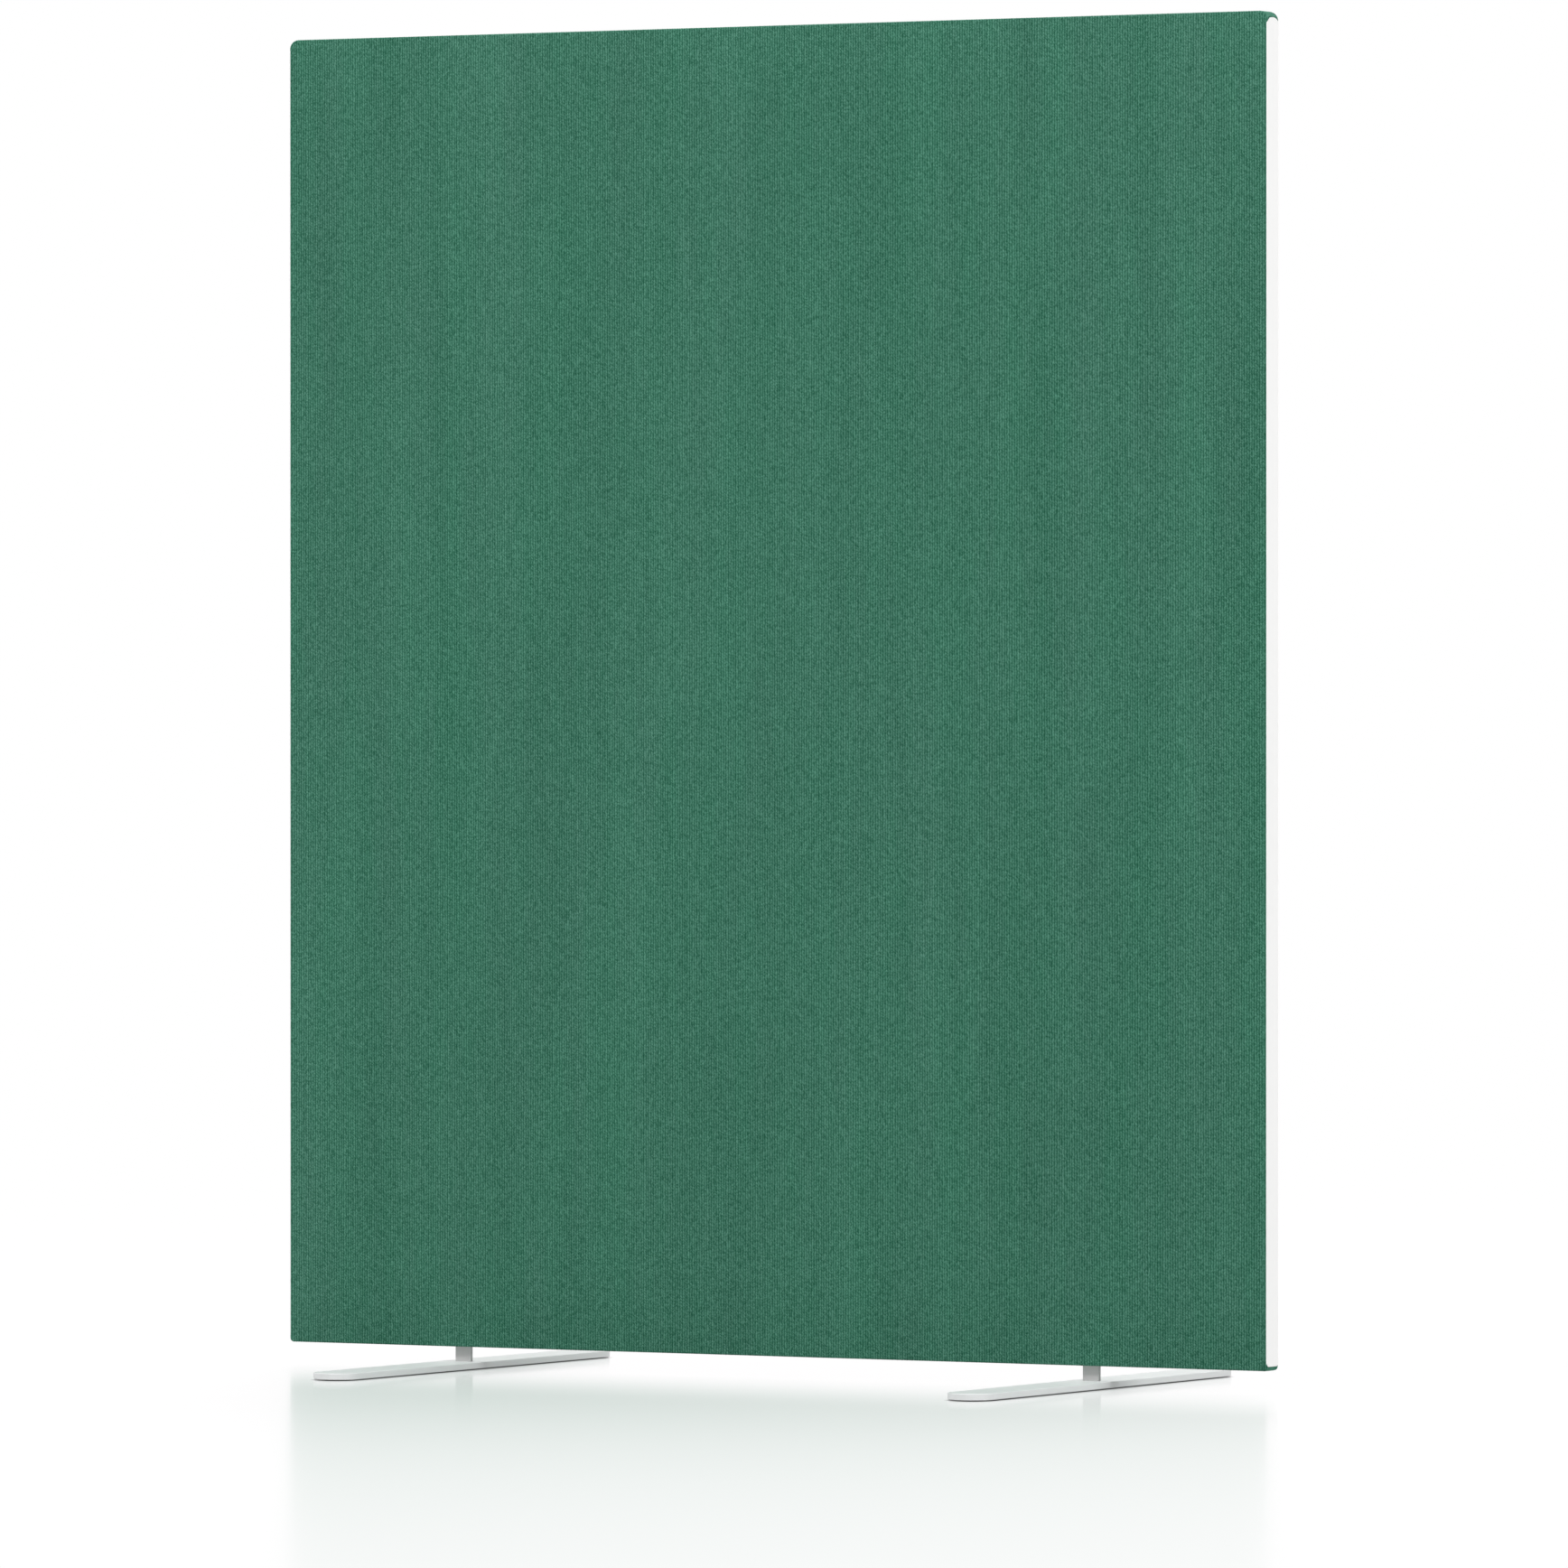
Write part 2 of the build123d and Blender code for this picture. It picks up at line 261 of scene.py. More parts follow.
depth = add_node(ground, "ShaderNodeSeparateXYZ", {0: ground_place}).outputs["Y"]
near_fade = fading(ground, calculate(ground, "ABSOLUTE", depth), NEAR_REACH)
near_share = times(ground, times(ground, near_fade, grazing), NEAR_SHARE)

shadow_share = times(ground, fading(ground, length_of(ground_place), SHADOW_REACH), SHADOW_SHARE)
print("floor: mirrors", MIRROR_SHARE, "blurred and", NEAR_SHARE, "clear at most, by the panel")

# %% [markdown]
# ## The floor's finish
#
# Where nothing stands on it, the floor has to be as white as the surroundings, so that no horizon
# shows. An Emission of strength 1 does that, darkened by an Ambient Occlusion node in the narrow
# gap under the feet. In the picture the panel's image on the floor is greener than plain shade. So
# the blurred mirror carries less green and blue, and the white under it makes up for what the
# mirror leaves out, so that the light parts of the floor stay white. Light that only bounces off
# the floor meets a plain grey instead.

# %% The floor's shaders
MIRROR_TINT = (1.0, 0.86, 0.93, 1.0)
MIRROR_BLUR = 0.185
NEAR_BLUR = 0.09
CONTACT_REACH = 0.006
FLOOR_BOUNCE = (0.48, 0.48, 0.48, 1.0)
SHADED_WHITE = (0.9, 0.9, 0.9, 1.0)

left_over = calculate(ground, "SUBTRACT", 1.0, mirror_share)
to_make_up = calculate(ground, "DIVIDE", mirror_share, left_over)
made_up = mix_colours(ground, to_make_up, WHITE, tuple(2.0 - c for c in MIRROR_TINT))
contact = add_node(
    ground, "ShaderNodeAmbientOcclusion", {"Color": made_up, "Distance": CONTACT_REACH}, samples=8
)
plain_white = add_node(ground, "ShaderNodeEmission", {"Color": contact.outputs[0], "Strength": 1.0})
lit_white = add_node(ground, "ShaderNodeBsdfDiffuse", {"Color": SHADED_WHITE})
bounce = add_node(ground, "ShaderNodeBsdfDiffuse", {"Color": FLOOR_BOUNCE})
mirror = add_node(ground, "ShaderNodeBsdfGlossy", {"Color": MIRROR_TINT, "Roughness": MIRROR_BLUR})
near_mirror = add_node(ground, "ShaderNodeBsdfGlossy", {"Color": WHITE, "Roughness": NEAR_BLUR})
shaded = mix_shaders(ground, shadow_share, plain_white, lit_white)
blurred = mix_shaders(ground, mirror_share, shaded, mirror)
polished = mix_shaders(ground, near_share, blurred, near_mirror)
floor_mix = mix_shaders(ground, seen_share(ground), bounce, polished)
add_node(ground, "ShaderNodeOutputMaterial", {"Surface": floor_mix.outputs[0]})
floor_mesh.materials.append(floor_finish)
print("floor finish:", floor_finish.name, "with", len(ground.nodes), "nodes")

# %% [markdown]
# ## The lamps
#
# Three large soft lamps light the screen, as a studio's soft boxes do. The strongest is high in
# front and lights the cloth and the tops of the feet. One at the right end whitens the end strip,
# and one high at the back keeps the other face from going dark. An area lamp's shadow is the softer
# the larger it is.


# %% Three soft lamps
def soft_lamp(name, place, size, power):
    """A square area lamp that looks at the middle of the panel."""
    lamp = bpy.data.lights.new(name, "AREA")
    lamp.shape = "SQUARE"
    lamp.size = size
    lamp.energy = power
    holder = bpy.data.objects.new(name, lamp)
    holder.location = place
    aim = Vector((0.0, 0.0, panel_top / 2)) - holder.location
    holder.rotation_euler = aim.to_track_quat("-Z", "Y").to_euler()
    scene.collection.objects.link(holder)


soft_lamp("front_lamp", (-3.0, -10.0, 15.0), 7.0, 2400.0)
soft_lamp("end_lamp", (9.0, -0.4, 3.5), 4.0, 375.0)
soft_lamp("back_lamp", (-3.0, 10.0, 15.0), 7.0, 1800.0)

# %% [markdown]
# ## A shader group for ribs and stitches
#
# The cloth is knitted in fine upright ribs, 3.5 mm apart. Each rib is two strands side by side,
# whose stitches lean towards each other. Along each strand the yarn shows light and dark flecks, a
# third of a stitch at a time. An image could carry that, but it would blur close up and repeat. A
# pattern worked out from the place on the cloth doesn't. The group counts the ribs and the strands,
# gives each fleck a chance value of its own, and puts out the rib's rounded profile, the fleck's
# tone, the stitch's wave and a height for the bump.


# %% Group: ribs and stitches
RIB_PITCH = 0.0035
STITCH = 0.0034
STITCH_LEAN = 0.35
FLECKS_PER_STITCH = 3.0
FLECK_EDGE = 0.6
STRAND_HEIGHT, RIB_HEIGHT = 0.45, 0.55
FLOAT, VECTOR = "NodeSocketFloat", "NodeSocketVector"


def new_group(name, inputs, outputs):
    """An empty node group with the sockets named, and its two end nodes."""
    group = bpy.data.node_groups.new(name, "ShaderNodeTree")
    for label, kind, value in inputs:
        socket = group.interface.new_socket(label, in_out="INPUT", socket_type=kind)
        socket.default_value = value
    for label in outputs:
        group.interface.new_socket(label, in_out="OUTPUT", socket_type=FLOAT)
    start = group.nodes.new("NodeGroupInput")
    end = group.nodes.new("NodeGroupOutput")
    return group, start.outputs, end.inputs


def rounded(tree, count):
    """A round hump over each whole step of a count."""
    return calculate(tree, "SINE", times(tree, calculate(tree, "FRACT", count), math.pi))


def chance(tree, dimensions, **place):
    """A chance value from 0 to 1 that a place always gets again."""
    made = add_node(tree, "ShaderNodeTexWhiteNoise", place, noise_dimensions=dimensions)
    return made.outputs["Value"]


def build_rib_group():
    """The pattern of ribs, strands and stitches, from the distance across them and along them."""
    lengths = {"Across": 0.0, "Along": 0.0, "Pitch": RIB_PITCH, "Stitch": STITCH}
    group, given, result = new_group(
        "ribs_and_stitches",
        [(label, FLOAT, value) for label, value in lengths.items()],
        ["Profile", "Second Rib", "Fleck", "Wave", "Height"],
    )
    count = calculate(group, "DIVIDE", given["Across"], given["Pitch"])
    profile = rounded(group, count)
    second = calculate(group, "PINGPONG", calculate(group, "FLOOR", count), 1.0)
    strand_count = times(group, count, 2.0)
    strand = calculate(group, "FLOOR", strand_count)

    # The stitches of two neighbouring strands lean towards each other
    lean = calculate(group, "MULTIPLY_ADD", calculate(group, "PINGPONG", strand, 1.0), 2.0, -1.0)
    within = calculate(group, "SUBTRACT", calculate(group, "FRACT", strand_count), 0.5)
    step = calculate(group, "DIVIDE", given["Along"], given["Stitch"])
    step = calculate(group, "ADD", step, chance(group, "1D", W=strand))
    step = calculate(group, "MULTIPLY_ADD", times(group, lean, within), STITCH_LEAN, step)
    wave = calculate(group, "SINE", times(group, step, 2 * math.pi))

    # Each fleck's tone turns into the next one's over the last part of its length
    fleck_count = times(group, step, FLECKS_PER_STITCH)
    tones = []
    for later in (0.0, 1.0):
        number = calculate(group, "ADD", calculate(group, "FLOOR", fleck_count), later)
        cell = add_node(group, "ShaderNodeCombineXYZ", {"X": strand, "Y": number}).outputs[0]
        tones.append(chance(group, "2D", Vector=cell))
    turning = add_node(
        group,
        "ShaderNodeMapRange",
        {"Value": calculate(group, "FRACT", fleck_count), "From Min": FLECK_EDGE},
        interpolation_type="SMOOTHSTEP",
    ).outputs[0]
    fleck = add_node(group, "ShaderNodeMix", {0: turning, 2: tones[0], 3: tones[1]}).outputs[0]

    height = times(group, rounded(group, strand_count), rounded(group, fleck_count))
    rib_height = times(group, profile, RIB_HEIGHT)
    height = calculate(group, "MULTIPLY_ADD", height, STRAND_HEIGHT, rib_height)
    give(group, result, {
        "Profile": profile, "Second Rib": second, "Fleck": fleck, "Wave": wave, "Height": height,
    })
    return group


rib_group = build_rib_group()
print("group:", rib_group.name, "with", len(rib_group.nodes), "nodes")

# %% [markdown]
# ## A shader group for slow changes of tone
#
# No dyed cloth, paint or wood is one even colour. This group gives two patterns that every material
# below uses in its own strength: slow clouds, which can be drawn out to streaks, and a fine grain.
# The cloth takes its uneven dye from them, the steel and the plastic their skin, the wood its
# boards.


# %% Group: slow clouds and fine grain
def build_cloud_group():
    """Slow clouds, which can be drawn out along an axis, and a fine grain."""
    sockets = (
        ("Place", VECTOR, (0.0, 0.0, 0.0)),
        ("Stretch", VECTOR, (1.0, 1.0, 1.0)),
        ("Size", FLOAT, 10.0),
        ("Grain", FLOAT, 900.0),
    )
    group, given, result = new_group("slow_clouds", sockets, ["Clouds", "Grains"])
    place = stretched(group, given["Place"], given["Stretch"])
    give(group, result, {
        "Clouds": soft_noise(group, place, given["Size"], 6.0, Roughness=0.72),
        "Grains": soft_noise(group, given["Place"], given["Grain"], 2.0),
    })
    return group


def use_group(tree, group, **values):
    """Places a node group in a material with its own values."""
    return add_node(tree, "ShaderNodeGroup", values, node_tree=group).outputs


cloud_group = build_cloud_group()
print("group:", cloud_group.name, "with", len(cloud_group.nodes), "nodes")

# %% [markdown]
# ## The green cloth
#
# The cloth is a matt wool-like knit. Where its ribs and stitches lie lower, the tone is painted
# darker as shade, and flecks of a paler and a darker green run along the yarn. Over the whole panel
# its tone drifts in long upright streaks, and its hue between a bluer and a more olive green. Every
# pattern adds its part to one tone, about its own middle, so that the mean stays the picture's
# green however strong each pattern is. On the panel's ends the cloth has turned the corner, so
# there the ribs are counted through the thickness. A little sheen lightens the cloth at a low
# angle, as loose fibres do.


# %% Material: green cloth
MEAN_GREEN = (61, 115.5, 95)
TONE_REACH = 36
GREEN_STEPS = [
    (0.5 + step / 8, paint(*(c + step * TONE_REACH / 4 for c in MEAN_GREEN)))
    for step in range(-4, 5)
]
HUE_STEPS = ((0.35, (1.03, 0.965, 0.99, 1.0)), (0.65, (0.97, 1.035, 1.01, 1.0)))
TONE_STREAKS = (1.0, 1.0, 0.07)
HUE_STREAKS = (1.0, 1.0, 0.15)
END_BAND = 0.0013


def new_material(name):
    """A material with its Principled shader, ready for links, and the place on the piece."""
    material = bpy.data.materials.new(name)
    material.use_nodes = True
    tree = material.node_tree
    place = add_node(tree, "ShaderNodeTexCoord").outputs["Object"]
    return material, tree, tree.nodes["Principled BSDF"].inputs, place


def colour_steps(tree, value, steps):
    """A colour ramp from (place, colour) pairs."""
    ramp = add_node(tree, "ShaderNodeValToRGB", {"Fac": value})
    while len(ramp.color_ramp.elements) < len(steps):
        ramp.color_ramp.elements.new(0.5)
    for element, (place, colour) in zip(ramp.color_ramp.elements, steps):
        element.position = place
        element.color = colour
    return ramp.outputs["Color"]


def bump_of(tree, height, strength, distance, **below):
    """A bump from a height pattern, on top of the one given as Normal, if any."""
    inputs = {"Height": height, "Strength": strength, "Distance": distance, **below}
    return add_node(tree, "ShaderNodeBump", inputs).outputs[0]


def green_cloth():
    """The ribbed cloth of the panel."""
    material, tree, shader, place = new_material("green_cloth")
    split = add_node(tree, "ShaderNodeSeparateXYZ", {0: place}).outputs
    far_out = calculate(tree, "ABSOLUTE", split["X"])
    at_end = calculate(tree, "GREATER_THAN", far_out, half_width - END_BAND)
    across = add_node(tree, "ShaderNodeMix", {0: at_end, 2: split["X"], 3: split["Y"]}).outputs[0]
    along = calculate(tree, "ADD", split["Z"], split["Y"])
    ribs = use_group(tree, rib_group, Across=across, Along=along)
    drift = use_group(tree, cloud_group, Place=place, Stretch=TONE_STREAKS, Size=14.0, Grain=2600.0)

    # Each pattern, its middle and its strength; profile and height paint shade into the grooves
    tone = 0.5
    for pattern, middle, strength in (
        (ribs["Profile"], 0.64, 0.37),
        (ribs["Second Rib"], 0.50, 0.04),
        (ribs["Fleck"], 0.50, 0.62),
        (ribs["Wave"], 0.00, 0.07),
        (ribs["Height"], 0.53, 0.30),
        (drift["Clouds"], 0.50, 0.30),
        (drift["Grains"], 0.50, 0.20),
    ):
        centred = calculate(tree, "SUBTRACT", pattern, middle)
        tone = calculate(tree, "MULTIPLY_ADD", centred, strength, tone)
    green = colour_steps(tree, tone, GREEN_STEPS)

    # The hue drifts from a more olive green to a bluer one
    hue = soft_noise(tree, stretched(tree, place, HUE_STREAKS), 12.0, 6.0, Roughness=0.75)
    green = mix_colours(tree, 1.0, green, colour_steps(tree, hue, HUE_STEPS), "MULTIPLY")

    ribbed = bump_of(tree, ribs["Height"], 0.5, 0.0004)
    give(tree, shader, {
        "Base Color": green,
        "Roughness": calculate(tree, "MULTIPLY_ADD", ribs["Fleck"], 0.12, 0.82),
        "Normal": bump_of(tree, drift["Grains"], 0.25, 0.0002, Normal=ribbed),
        "Specular IOR Level": 0.1,
        "Sheen Weight": 0.06,
        "Sheen Roughness": 0.5,
        "Sheen Tint": paint(130, 175, 158),
    })
    return material


CLOTH_FINISH = green_cloth()
print("material:", CLOTH_FINISH.name, "with", len(CLOTH_FINISH.node_tree.nodes), "nodes")

# %% [markdown]
# ## Painted steel, plastic, rubber and bare steel
#
# The feet have a powder coat: baked paint with a very fine orange-peel skin and a soft gloss. Their
# uprights get a greyer white, which is painted shade: it makes them darker than the panel's shadow
# alone does. The end strips are drawn from white plastic, smoother and a shade whiter. The glides
# are pale rubber, and the sockets, screws and staples inside are zinc-plated steel. All start from
# the same recipe, a base colour that drifts a little, a skin of grains and a roughness, with
# different values.


# %% Materials: hard finishes
def hard_finish(name, colour, drift, rough, grain_size, grain_depth, metal=0.0):
    """A finish with a drifting base colour, grains in its skin and uneven gloss."""
    material, tree, shader, place = new_material(name)
    skin = use_group(tree, cloud_group, Place=place, Size=9.0, Grain=grain_size)
    darker = tuple(c * (1 - drift) for c in colour[:3]) + (1.0,)
    give(tree, shader, {
        "Base Color": mix_colours(tree, skin["Clouds"], darker, colour),
        "Roughness": calculate(tree, "MULTIPLY_ADD", skin["Clouds"], 0.12, rough - 0.06),
        "Normal": bump_of(tree, skin["Grains"], 0.6, grain_depth),
        "Metallic": metal,
    })
    return material


PAINTED_STEEL = hard_finish("white_steel", paint(233, 235, 235), 0.03, 0.42, 1400.0, 0.00006)
# The uprights' greyer white is painted shade, darker than the panel's shadow alone makes them
UPRIGHT_PAINTED_SHADE_STEEL = hard_finish("white_steel_painted_shade", paint(208, 207, 207), 0.03, 0.5, 1400.0, 0.00006)
STRIP_PLASTIC = hard_finish("white_strip", paint(250, 250, 249), 0.02, 0.36, 700.0, 0.00003)
GLIDE_RUBBER = hard_finish("glide_rubber", paint(150, 152, 152), 0.08, 0.75, 2200.0, 0.00012)
BARE_STEEL = hard_finish("bare_steel", paint(176, 178, 176), 0.18, 0.38, 1800.0, 0.00004, metal=1.0)
print("materials so far:", [material.name for material in bpy.data.materials])

# %% [markdown]
# ## Wood, felt and absorber
#
# The frame inside is planed pine. Its grain runs along each board, so the rails and the uprights
# need the same recipe turned by a quarter. The growth rings are a bent noise, drawn out along the
# board. The felt is a grey mix of fibres, and the absorber is a paler, coarser one.


# %% Materials: wood and fibres
PINE_STEPS = (
    (0.30, paint(176, 134, 88)),
    (0.50, paint(214, 178, 128)),
    (0.72, paint(232, 204, 160)),
)


def pine(name, stretch):
    """Pine whose grain runs along the axis with the small number in stretch."""
    material, tree, shader, place = new_material(name)
    drift = use_group(tree, cloud_group, Place=place, Stretch=stretch, Size=26.0, Grain=600.0)
    rings = soft_noise(tree, stretched(tree, place, stretch), 160.0, 3.0, Distortion=1.2)
    share = calculate(tree, "MULTIPLY_ADD", drift["Clouds"], 0.6, times(tree, rings, 0.4))
    give(tree, shader, {
        "Base Color": colour_steps(tree, share, PINE_STEPS),
        "Roughness": calculate(tree, "MULTIPLY_ADD", rings, 0.2, 0.55),
        "Normal": bump_of(tree, rings, 0.4, 0.0002),
    })
    return material


def fibres(name, dark, light, size):
    """A matt mix of dark and light fibres."""
    material, tree, shader, place = new_material(name)
    mixture = use_group(tree, cloud_group, Place=place, Size=40.0, Grain=size)
    clouds = times(tree, mixture["Clouds"], 0.2)
    share = calculate(tree, "MULTIPLY_ADD", mixture["Grains"], 0.8, clouds)
    give(tree, shader, {
        "Base Color": colour_steps(tree, share, ((0.35, dark), (0.65, light))),
        "Roughness": calculate(tree, "MULTIPLY_ADD", mixture["Clouds"], 0.08, 0.88),
        "Normal": bump_of(tree, mixture["Grains"], 0.7, 0.0006),
    })
    return material


PINE_ALONG = pine("frame_wood_along", (0.06, 1.0, 1.0))
PINE_UPRIGHT = pine("frame_wood_upright", (1.0, 1.0, 0.06))
FELT_FINISH = fibres("felt", paint(96, 98, 98), paint(150, 152, 150), 1500.0)
ABSORBER_FINISH = fibres("absorber", paint(168, 166, 156), paint(216, 214, 204), 700.0)
print("materials in all:", len(bpy.data.materials))

# %% [markdown]
# ## The shape of the wrapped panel
#
# The cloth follows one surface: a flat box with rounded corners, 12 mm at the top and 5 mm at the
# bottom, and edges rounded by 2 mm where each face turns. Two numbers find any point on its right
# end. The first goes up along the outline, from the bottom corner to the top corner. The second
# goes across, from the front face over the end to the back face. The left end is the same with X
# turned round.
#
# The ribs are real relief. Their grooves are pressed 0.35 mm into the surface, and every second rib
# stands a little lower, as in the photograph, where each second one is darker. A slow wave of a
# quarter of a millimetre keeps the faces from looking like glass.

# %% Functions for the wrapped surface
TOP_CORNER = 0.012
LOW_CORNER = 0.005
SOFT_EDGE = 0.002
QUARTER = math.pi / 2
LOW_ARC = LOW_CORNER * QUARTER
SIDE_RUN = panel_top - TOP_CORNER - (panel_bottom + LOW_CORNER)
OUTLINE_RUN = LOW_ARC + SIDE_RUN + TOP_CORNER * QUARTER
TURN_RUN = SOFT_EDGE * QUARTER
ACROSS_RUN = 2 * TURN_RUN + 2 * (half_depth - SOFT_EDGE)
RIB_GROOVE = 0.00035
RIB_ROUNDNESS = 0.6
SECOND_RIB = 0.00005
CLOTH_WAVE = 0.00025
WAVES_PER_METRE = (5.0, 9.0, 3.0)


def outline(p):
    """The inner outline's point and outward direction at p, seen from the front."""
    p = np.asarray(p, float)
    low = np.clip(p / LOW_CORNER - QUARTER, -QUARTER, 0.0)
    high = np.clip((p - LOW_ARC - SIDE_RUN) / TOP_CORNER, 0.0, QUARTER)
    angle = np.where(p < LOW_ARC, low, high)
    inner = np.where(p < LOW_ARC, LOW_CORNER, TOP_CORNER) - SOFT_EDGE
    centre_z = panel_bottom + LOW_CORNER + np.clip(p - LOW_ARC, 0.0, SIDE_RUN)
    nx, nz = np.cos(angle), np.sin(angle)
    x = half_width - SOFT_EDGE - inner + inner * nx
    return x, centre_z + inner * nz, nx, nz


def turn(q):
    """How far out and how deep the edge has turned at across place q, and its direction there."""
    q = np.asarray(q, float)
    front = q <= ACROSS_RUN / 2
    near = np.where(front, q, ACROSS_RUN - q)
    angle = np.clip(near / SOFT_EDGE, 0.0, QUARTER)
    depth = SOFT_EDGE * (1 - np.cos(angle)) + np.maximum(near - TURN_RUN, 0.0)
    side = np.where(front, -1.0, 1.0)
    lean = np.sin(angle)
    return SOFT_EDGE * lean, side * (half_depth - depth), lean, side * np.cos(angle)


def wrapped(p, q):
    """Points and directions of the right end's surface at outline place p and across place q."""
    x, z, nx, nz = outline(p)
    out, y, lean, ny = turn(q)
    points = np.stack([x + nx * out, y + 0 * x, z + nz * out], -1)
    directions = np.stack([nx * lean, ny + 0 * x, nz * lean], -1)
    return points, directions


def rib_relief(points, directions):
    """Presses the ribs' grooves into the surface, and gives the cloth slow uneven waves."""
    count = points[..., 0] / RIB_PITCH
    number = np.floor(count)
    crest = np.sin(np.pi * (count - number)) ** RIB_ROUNDNESS
    groove = RIB_GROOVE * (1 - crest) + SECOND_RIB * (number % 2)
    groove = groove * (1 - directions[..., 0] ** 2)
    places = (points * np.array(WAVES_PER_METRE)).reshape(-1, 3)
    wave = np.array([noise.noise(Vector(place)) for place in places])
    wave = CLOTH_WAVE * (wave.reshape(groove.shape) - 1.0) / 2 * np.abs(directions[..., 1])
    return points + directions * (wave - groove)[..., None]


print("outline run", round(OUTLINE_RUN, 4), "m, across", round(ACROSS_RUN, 4), "m")

# %% [markdown]
# ## Laying the cloth as a grid
#
# Each patch of the cloth is a grid of four-sided faces: the front, the back, the top, the bottom
# and the two ends. Columns stand four to a rib, so that the relief is even. At the ends the grid is
# made of rings instead, from the edge of the panel's face inwards to the edge of the strip's seat.
# A Boolean modifier could cut the seat out too, but it would leave ragged faces beside the ribs.

# %% Where the columns, rows and rings stand
COLUMNS_PER_RIB = 4
ROWS = 16
CORNER_STEPS = 10
TURN_STEPS = 4
SEAM_HALF = 0.0004
SEAM_END = 0.020
SLOT_HALF_LENGTH = 0.01205
SLOT_HALF_WIDTH = 0.0033
UNDER_STEP = 0.008
TINY = 1e-7
foot_low, foot_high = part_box("right_foot_tongue")
foot_x = (foot_low.x + foot_high.x) / 2

top_start = half_width - TOP_CORNER
low_start = half_width - LOW_CORNER
corner_angles = np.linspace(0.0, QUARTER, CORNER_STEPS + 1)
corner_columns = top_start + (TOP_CORNER - SOFT_EDGE) * np.cos(corner_angles)
corner_columns = np.unique(np.round(np.append(corner_columns, low_start), 7))
low_corner_columns = corner_columns[corner_columns >= low_start - TINY]
rib_step = RIB_PITCH / COLUMNS_PER_RIB
middle_columns = np.arange(-int(top_start / rib_step), int(top_start / rib_step) + 1) * rib_step
middle_columns = middle_columns[np.abs(middle_columns) < top_start - rib_step / 3]
columns = np.concatenate([-corner_columns[::-1], middle_columns, corner_columns])
from_middle = np.array([SEAM_HALF, SLOT_HALF_WIDTH, UNDER_STEP])
from_middle = np.concatenate([-from_middle[::-1], from_middle])
across_places = np.concatenate([
    np.linspace(0.0, TURN_RUN, TURN_STEPS + 1),
    TURN_RUN + half_depth - SOFT_EDGE + from_middle,
    np.linspace(ACROSS_RUN - TURN_RUN, ACROSS_RUN, TURN_STEPS + 1),
])
side_rows = np.linspace(0.0, 1.0, ROWS + 1)
print("columns", len(columns), "rows", ROWS + 1, "places across", len(across_places))

# %% [markdown]
# ## From grids to one mesh
#
# A stretched cloth is one piece without gaps. So all its grids go into one mesh, and points that
# lie on the same spot, where two grids meet, are joined. Its faces are then turned outwards. The
# felts further down are made the same way. A new piece hides the solid it stands in for, and goes
# with the body named root, which is the whole screen, since nothing on it moves.


# %% A cloth mesh that takes grids
JOIN_WITHIN = 2e-6


def add_piece(mesh, finish, node):
    """Puts a mesh in the scene, smooth and with its finish, in place of a solid."""
    for face in mesh.polygons:
        face.use_smooth = True
    mesh.materials.append(finish)
    made = bpy.data.objects.new(mesh.name, mesh)
    scene.collection.objects.link(made)
    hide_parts(node)
    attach(made, "root")
    return made


class ClothMesh:
    """Collects grids of points into one mesh, and joins the points they share."""

    def __init__(self):
        self.points, self.faces = [], []

    def add_grid(self, points, skip=None, loop=False):
        """Adds a grid of points as faces, but none where skip says so. A loop closes its rows."""
        rows, count = points.shape[:2]
        first = len(self.points)
        self.points.extend(points.reshape(-1, 3).tolist())
        for i in range(rows - 1):
            for j in range(count if loop else count - 1):
                if skip is not None and skip[i, j]:
                    continue
                here, above = first + i * count, first + (i + 1) * count
                after = (j + 1) % count
                self.faces.append((here + j, here + after, above + after, above + j))

    def finish(self, name, finish, slot_name, node):
        """Joins shared points, turns all faces outwards and makes the piece."""
        mesh = bpy.data.meshes.new(name)
        mesh.from_pydata(self.points, [], self.faces)
        shape = bmesh.new()
        shape.from_mesh(mesh)
        bmesh.ops.remove_doubles(shape, verts=shape.verts, dist=JOIN_WITHIN)
        bmesh.ops.dissolve_degenerate(shape, edges=shape.edges, dist=JOIN_WITHIN / 2)
        bmesh.ops.recalc_face_normals(shape, faces=shape.faces)
        front = [f for f in shape.faces if f.calc_center_median().y < -half_depth / 2]
        if sum(f.normal.y * f.calc_area() for f in front) > 0:
            bmesh.ops.reverse_faces(shape, faces=shape.faces)
        shape.to_mesh(mesh)
        shape.free()
        return add_piece(mesh, finish, node)


cloth = ClothMesh()
print("an empty cloth; points join within", JOIN_WITHIN, "m")

# %% [markdown]
# ## The faces, the top and the underside
#
# The two faces are grids from the rounded outline's lowest to its highest point at each column. The
# top and the underside are grids across the panel's thickness, over the edges' quarter turns. On
# the underside, the faces in the seam's line, where the two hems meet, and in the feet's slots are
# left out.


# %% The faces, the top and the underside
def face_reach(x, inset=SOFT_EDGE):
    """The lowest and highest point of the outline, drawn in by inset, at x."""
    x = np.abs(x)

    def rise(radius, start):
        """How far the corner's arc is from its centre's height."""
        return np.sqrt(np.maximum((radius - inset) ** 2 - np.maximum(x - start, 0.0) ** 2, 0.0))

    low = panel_bottom + LOW_CORNER - rise(LOW_CORNER, low_start)
    return low, panel_top - TOP_CORNER + rise(TOP_CORNER, top_start)


def face_grid(side):
    """The front face for side -1 and the back face for side 1."""
    low, high = face_reach(columns)
    points = np.zeros((len(side_rows), len(columns), 3))
    points[..., 0] = columns
    points[..., 1] = side * half_depth
    points[..., 2] = low + (high - low) * side_rows[:, None]
    directions = np.zeros_like(points)
    directions[..., 1] = side
    return rib_relief(points, directions)


